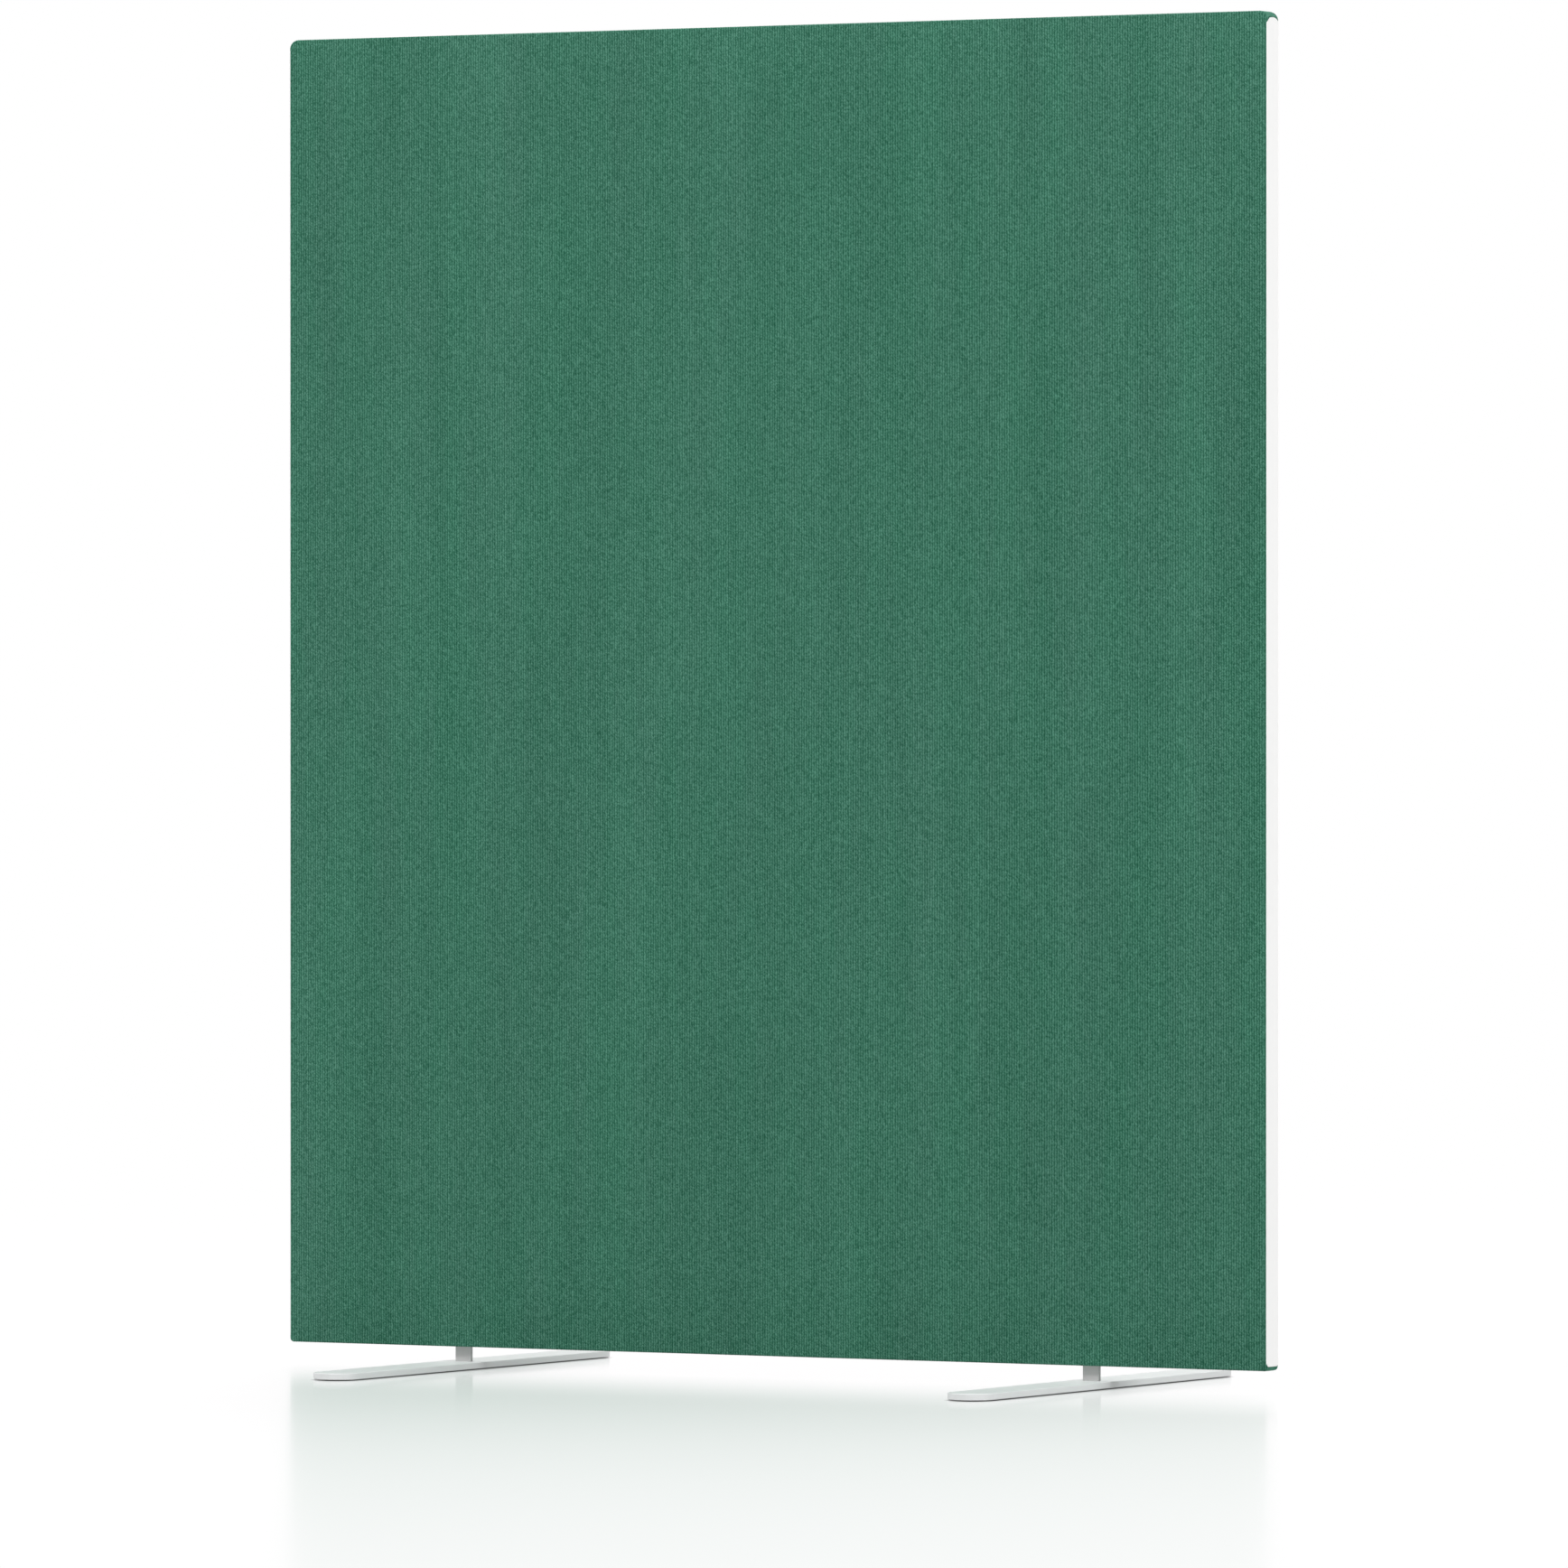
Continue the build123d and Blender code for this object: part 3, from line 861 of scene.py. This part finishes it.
def rim_grid(start, up):
    """The top for up 1 and the underside for up -1, between the corners."""
    inside = columns[np.abs(columns) <= start + TINY]
    out, y, lean, ny = turn(across_places)
    base = (panel_top if up > 0 else panel_bottom) - up * SOFT_EDGE
    points = np.zeros((len(y), len(inside), 3))
    points[..., 0] = inside
    points[..., 1] = y[:, None]
    points[..., 2] = base + up * out[:, None]
    directions = np.zeros_like(points)
    directions[..., 1] = ny[:, None]
    directions[..., 2] = up * lean[:, None]
    return inside, y, rib_relief(points, directions)


for side in (-1, 1):
    cloth.add_grid(face_grid(side))
_, _, top_points = rim_grid(top_start, 1)
cloth.add_grid(top_points)
low_columns, low_y, low_points = rim_grid(low_start, -1)
mid_x = np.abs(low_columns[:-1] + low_columns[1:])[None, :] / 2
mid_y = np.abs(low_y[:-1] + low_y[1:])[:, None] / 2
seam = (mid_y < SEAM_HALF) & (mid_x < half_width - SEAM_END)
slots = (mid_y < SLOT_HALF_WIDTH) & (np.abs(mid_x - foot_x) < SLOT_HALF_LENGTH)
cloth.add_grid(low_points, skip=seam | slots)
print("faces so far:", len(cloth.faces))

# %% [markdown]
# ## The edge of the strip's seat
#
# The strip sinks into a seat in the panel's end, with an even gap all round. The seat's top is an
# arch, as the strip's is, and its lower corners are quarter circles. The points of its edge are
# first set out flat, as seen from the end, and then found on the wrapped surface. The first 60 per
# cent of the arch's turn belongs to the side, and the rest to the edge over the top.


# %% Places of the seat's edge
STRIP_SINK = 0.0012
STRIP_GAP = 0.00045
STRIP_TOP_ARCH = 0.0085
STRIP_LOW_ROUND = 0.005
TOP_CORNER_SHARE = 0.6
strip_low, strip_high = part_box("right_edge_strip")
seat_floor = half_width - STRIP_SINK
seat_half = strip_high.y + STRIP_GAP
seat_low, seat_high = strip_low.z - STRIP_GAP, strip_high.z + STRIP_GAP
seat_low_round, seat_arch = STRIP_LOW_ROUND + STRIP_GAP, STRIP_TOP_ARCH + STRIP_GAP


def seat_corner(height, towards, wide, high, shares):
    """Points (y, z) on a quarter arch of the seat, from its side to its top or bottom."""
    angles = shares * QUARTER
    y = wide - seat_half - wide * np.cos(angles)
    return y, height - towards * high * (1 - np.sin(angles))


def on_surface(y, z):
    """The outline and across places of the surface's point at (y, z), above the seat's floor."""
    depth = half_depth - np.minimum(np.abs(y), half_depth)
    angle = np.arccos(np.clip(1 - depth / SOFT_EDGE, 0.0, 1.0))
    q = np.where(depth < SOFT_EDGE, SOFT_EDGE * angle, TURN_RUN + depth - SOFT_EDGE)
    out = SOFT_EDGE * np.sin(np.minimum(angle, QUARTER))
    high = np.clip((z - (panel_top - TOP_CORNER)) / (TOP_CORNER - SOFT_EDGE + out), 0.0, 1.0)
    low = np.clip((panel_bottom + LOW_CORNER - z) / (LOW_CORNER - SOFT_EDGE + out), 0.0, 1.0)
    p = LOW_ARC + np.clip(z - panel_bottom - LOW_CORNER, 0.0, SIDE_RUN)
    p = p + np.arcsin(high) * TOP_CORNER - np.arcsin(low) * LOW_CORNER
    inner = np.where(high > 0, TOP_CORNER, LOW_CORNER) - SOFT_EDGE
    lean = np.where(high > 0, np.sqrt(1 - high**2), np.sqrt(1 - low**2))
    least = (seat_floor - half_width + inner + SOFT_EDGE) / np.maximum(lean, TINY) - inner
    least_q = SOFT_EDGE * np.arcsin(np.clip(least / SOFT_EDGE, 0.0, 1.0))
    q = np.maximum(q, least_q)
    return np.stack([p, np.where(y > 0, ACROSS_RUN - q, q)])


print("seat:", round(2 * seat_half, 5), "m wide, up to", round(seat_high, 4))

# %% [markdown]
# ## The cloth's ends, round the strips
#
# Each end is a set of rings with the same number of points. The outer ring is the edge that the
# faces, the top and the underside leave open. The inner one is the seat's edge. The rings between
# are spaced along the surface, which keeps the corners round. Inside the seat, the cloth drops to
# the seat's floor, runs in under the strip, and turns into the groove as a hem. The hem leaves an
# opening in the middle, where the strip's stem goes into the frame.


# %% The outer ring, the seat's ring and the hem
HEM_OPENING = 0.004
HEM_END = 0.023


def outer_places():
    """The outline places of the faces' edge at one end: bottom corner, side, top corner."""
    low_share = (low_corner_columns - low_start) / (LOW_CORNER - SOFT_EDGE)
    top_share = (corner_columns[::-1] - top_start) / (TOP_CORNER - SOFT_EDGE)
    low_turn, top_turn = (np.arccos(np.clip(share, 0.0, 1.0)) for share in (low_share, top_share))
    (low_face,), (high_face,) = face_reach(np.array([half_width - SOFT_EDGE]))
    side_z = low_face + (high_face - low_face) * side_rows[1:-1]
    return np.concatenate([
        LOW_ARC - LOW_CORNER * low_turn,
        LOW_ARC + side_z - panel_bottom - LOW_CORNER,
        LOW_ARC + SIDE_RUN + TOP_CORNER * top_turn,
    ])


def all_round(side, over, back, under):
    """A ring of values: up the front side, over the top, down the back and along the underside."""
    return np.concatenate([side, over, back[::-1], under[::-1]])


def end_rings():
    """The outer ring's and the seat's places on the surface, and the hem's points (y, z)."""
    low_shares = np.linspace(1.0, 0.0, len(low_corner_columns))
    top_shares = np.linspace(0.0, TOP_CORNER_SHARE, len(corner_columns))

    # Up the front side of the seat: bottom corner, side, top corner
    corner_y, corner_z = seat_corner(seat_low, -1, seat_low_round, seat_low_round, low_shares)
    arch_y, arch_z = seat_corner(seat_high, 1, seat_half, seat_arch, top_shares)
    side_z = corner_z[-1] + (arch_z[0] - corner_z[-1]) * side_rows[1:-1]
    side_y = np.concatenate([corner_y, np.full(len(side_z), -seat_half), arch_y])
    side_z = np.concatenate([corner_z, side_z, arch_z])

    # Over the top, from front to back, and the same for the underside
    over_q = across_places[1:-1]
    between = np.linspace(-1.0, 1.0, len(over_q) + 2)[1:-1]
    over_y, under_y = -arch_y[-1] * between, -corner_y[0] * between
    over_z = seat_high - seat_arch * (1 - np.sqrt(1 - (over_y / seat_half) ** 2))
    seat_y = all_round(side_y, over_y, -side_y, under_y)
    seat_z = all_round(side_z, over_z, side_z, np.full(len(between), seat_low))

    outer_p = outer_places()
    beside, along = np.ones(len(outer_p)), np.ones(len(over_q))
    ring_p = all_round(outer_p, OUTLINE_RUN * along, outer_p, 0 * along)
    ring_q = all_round(0 * beside, over_q, ACROSS_RUN * beside, over_q)
    hem_y = HEM_OPENING * all_round(-beside, between, beside, between)
    hem_z = np.clip(seat_z, strip_low.z + HEM_END, strip_high.z - HEM_END)
    return np.stack([ring_p, ring_q]), on_surface(seat_y, seat_z), hem_y, hem_z


print("points of a ring:", len(end_rings()[2]))

# %% [markdown]
# ## From the rings to the cloth
#
# Between the outer ring and the seat's ring stand five more. Then follow the seat's floor, a first
# step inwards that rounds the fold, the hem's edge and the hem turned into the groove. Both ends
# are the same rings, mirrored, and each closes into a loop. Flat, the cloth is 1.43 m by 3.37 m:
# the panel's width with a hem at each end, and twice its height with the turns over its top and its
# underside.


# %% Make the cloth piece
CLOTH = 0.001
END_RINGS = 6
FOLD_SHARE = 0.12


def end_grid(side):
    """One end's rings, from the panel's faces to the hem in the groove."""
    outer, seat, hem_y, hem_z = end_rings()
    rings = []
    for share in np.linspace(0.0, 1.0, END_RINGS + 1):
        rings.append(rib_relief(*wrapped(*(outer + (seat - outer) * share))))
    on_floor = rings[-1].copy()
    on_floor[:, 0] = np.minimum(seat_floor, on_floor[:, 0])
    hem = np.stack([np.full(len(hem_y), seat_floor), hem_y, hem_z], -1)
    turned = hem - np.array([2 * CLOTH, 0.0, 0.0])
    rings += [on_floor, on_floor + (hem - on_floor) * FOLD_SHARE, hem, turned]
    grid = np.stack(rings)
    grid[..., 0] *= side
    return grid


for side in (-1, 1):
    cloth.add_grid(end_grid(side), loop=True)
cover = cloth.finish("cloth_cover", CLOTH_FINISH, "green_cloth", "fabric_cover")
print("cloth faces:", len(cover.data.polygons))

# %% [markdown]
# ## The felt under the cloth
#
# A sheet of soft felt, 3 mm thick, lies under the cloth on each face, so that the frame doesn't
# show through. It is a grid with slightly uneven height. A Solidify modifier gives it its
# thickness, which leaves the sheet itself simple.


# %% The two felts
FELT = 0.003
FELT_COLUMNS, FELT_ROWS, FELT_CORNER_COLUMNS = 56, 60, 6
FELT_UNEVEN = 0.0001
FELT_LUMPS_PER_METRE = 40


def felt_sheet(name, node, side):
    """A felt between frame and cloth, on the front for side -1 and on the back for side 1."""
    low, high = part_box(node)
    reach = high.x
    even = np.linspace(-reach, reach, FELT_COLUMNS + 1)
    corner = np.linspace(reach - TOP_CORNER, reach, FELT_CORNER_COLUMNS + 1)
    places = np.unique(np.concatenate([even, corner, -corner]))
    bottom, top = face_reach(places, CLOTH)
    rows = np.linspace(0.0, 1.0, FELT_ROWS + 1)[:, None]
    outside = max(abs(low.y), abs(high.y))
    grid = np.zeros((len(rows), len(places), 3))
    grid[..., 0] = places
    grid[..., 2] = bottom + (top - bottom) * rows
    for point in grid.reshape(-1, 3):
        x, z = point[0] * FELT_LUMPS_PER_METRE, point[2] * FELT_LUMPS_PER_METRE
        lump = noise.noise(Vector((x, z, side * 3.0)))
        point[1] = side * (outside - FELT_UNEVEN * (2 + lump))
    felt = ClothMesh()
    felt.add_grid(grid)
    made = felt.finish(name, FELT_FINISH, "felt", node)
    thick = made.modifiers.new("thickness", "SOLIDIFY")
    thick.thickness = FELT - 4 * FELT_UNEVEN
    thick.offset = -1.0 if made.data.polygons[0].normal.y * side > 0 else 1.0
    return made


for end, side in (("front", -1), ("rear", 1)):
    made = felt_sheet(end + "_felt_sheet", end + "_felt", side)
    print(made.name, "has", len(made.data.polygons), "faces")

# %% [markdown]
# ## The absorbing slabs
#
# Each bay of the frame holds a slab of pressed fibre, cut out round the block that takes the foot.
# The slab is a grid with the cut-out left empty, pulled through its thickness and closed. A box
# would be too smooth: the grid's many points let its skin be uneven, as torn fibre is.


# %% The two slabs
BLOCK_GAP = 0.0004
SLAB_EDGE = 0.0015
SHARP_TURN = 0.8
SLAB_THINNER = 0.985
SLAB_UNEVEN = 0.02
SLAB_LUMPS_PER_METRE = 60.0


def stops(*pairs):
    """Places from each pair's first value, a number of even steps long, to the next pair's."""
    runs = [np.linspace(a, b, steps + 1)[1:] for (a, steps), (b, _) in zip(pairs, pairs[1:])]
    return np.concatenate([[pairs[0][0]], *runs])


def core_slab(name, node, block):
    """A slab in one bay of the frame, cut out round the foot's block."""
    low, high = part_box(node)
    block_low, block_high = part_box(block)
    notch_left, notch_right = block_low.x - BLOCK_GAP, block_high.x + BLOCK_GAP
    notch_top = block_high.z + BLOCK_GAP
    xs = stops((low.x, 8), (notch_left, 4), (notch_right, 6), (high.x, 0))
    zs = stops((low.z, 4), (notch_top, 40), (high.z, 0))
    shape = bmesh.new()
    spots = [[shape.verts.new((x, low.y, z)) for x in xs] for z in zs]
    for i in range(len(zs) - 1):
        for j in range(len(xs) - 1):
            if notch_left <= xs[j] < notch_right and zs[i] < notch_top:
                continue
            shape.faces.new((spots[i][j], spots[i][j + 1], spots[i + 1][j + 1], spots[i + 1][j]))
    bmesh.ops.delete(shape, geom=[v for v in shape.verts if not v.link_faces], context="VERTS")
    pulled = bmesh.ops.extrude_face_region(shape, geom=list(shape.faces))["geom"]
    pulled = [g for g in pulled if isinstance(g, bmesh.types.BMVert)]
    bmesh.ops.translate(shape, vec=(0.0, high.y - low.y, 0.0), verts=pulled)
    bmesh.ops.recalc_face_normals(shape, faces=shape.faces)
    rims = [e for e in shape.edges if e.calc_face_angle(0.0) > SHARP_TURN]
    bmesh.ops.bevel(shape, geom=rims, offset=SLAB_EDGE, segments=2, affect="EDGES", profile=0.5)
    for vertex in shape.verts:
        uneven = (1 + noise.noise(vertex.co * SLAB_LUMPS_PER_METRE)) / 2
        vertex.co.y *= (1.0 - SLAB_UNEVEN * uneven) * SLAB_THINNER
    mesh = bpy.data.meshes.new(name)
    shape.to_mesh(mesh)
    shape.free()
    made = add_piece(mesh, ABSORBER_FINISH, node)
    return made


for side in ("left", "right"):
    made = core_slab(side + "_fibre_slab", side + "_core_slab", side + "_foot_block")
    print(made.name, "has", len(made.data.polygons), "faces")

# %% [markdown]
# ## Finishes for the hard pieces
#
# The strips, feet, glides, frame, sockets, screws and staples keep their solids' meshes, which are
# exact. Each gets its finish here. The uprights of the feet are drawn steel bar with barely rounded
# edges, which the solid leaves sharp. A Weld modifier joins the mesh's points, and a Bevel modifier
# rounds the edges without changing the mesh itself.

# %% Dress the solids
FINISHES = {
    "edge_strip": STRIP_PLASTIC,
    "foot_plate": PAINTED_STEEL,
    "foot_tongue": UPRIGHT_PAINTED_SHADE_STEEL,
    "foot_glides": GLIDE_RUBBER,
    "foot_socket": BARE_STEEL,
    "socket_screws": BARE_STEEL,
    "hem_staples": BARE_STEEL,
    "top_rail": PINE_ALONG,
    "bottom_rail": PINE_ALONG,
    "stile": PINE_UPRIGHT,
    "centre_mullion": PINE_UPRIGHT,
    "foot_block": PINE_ALONG,
}
UPRIGHT_EDGE = 0.0004


def soften_edges(piece):
    """Rounds a solid's sharp edges with modifiers."""
    weld = piece.modifiers.new("join_points", "WELD")
    weld.merge_threshold = 0.00001
    bevel = piece.modifiers.new("soft_edges", "BEVEL")
    bevel.width = UPRIGHT_EDGE
    bevel.segments = 3
    bevel.limit_method = "ANGLE"
    bevel.angle_limit = math.radians(40)
    bevel.harden_normals = True


dressed = 0
for name, piece in nodes.items():
    kind = name.removeprefix("left_").removeprefix("right_")
    if kind in FINISHES:
        piece.data.materials.clear()
        piece.data.materials.append(FINISHES[kind])
        dressed += 1
    if kind == "foot_tongue":
        soften_edges(piece)
print("solids dressed:", dressed)
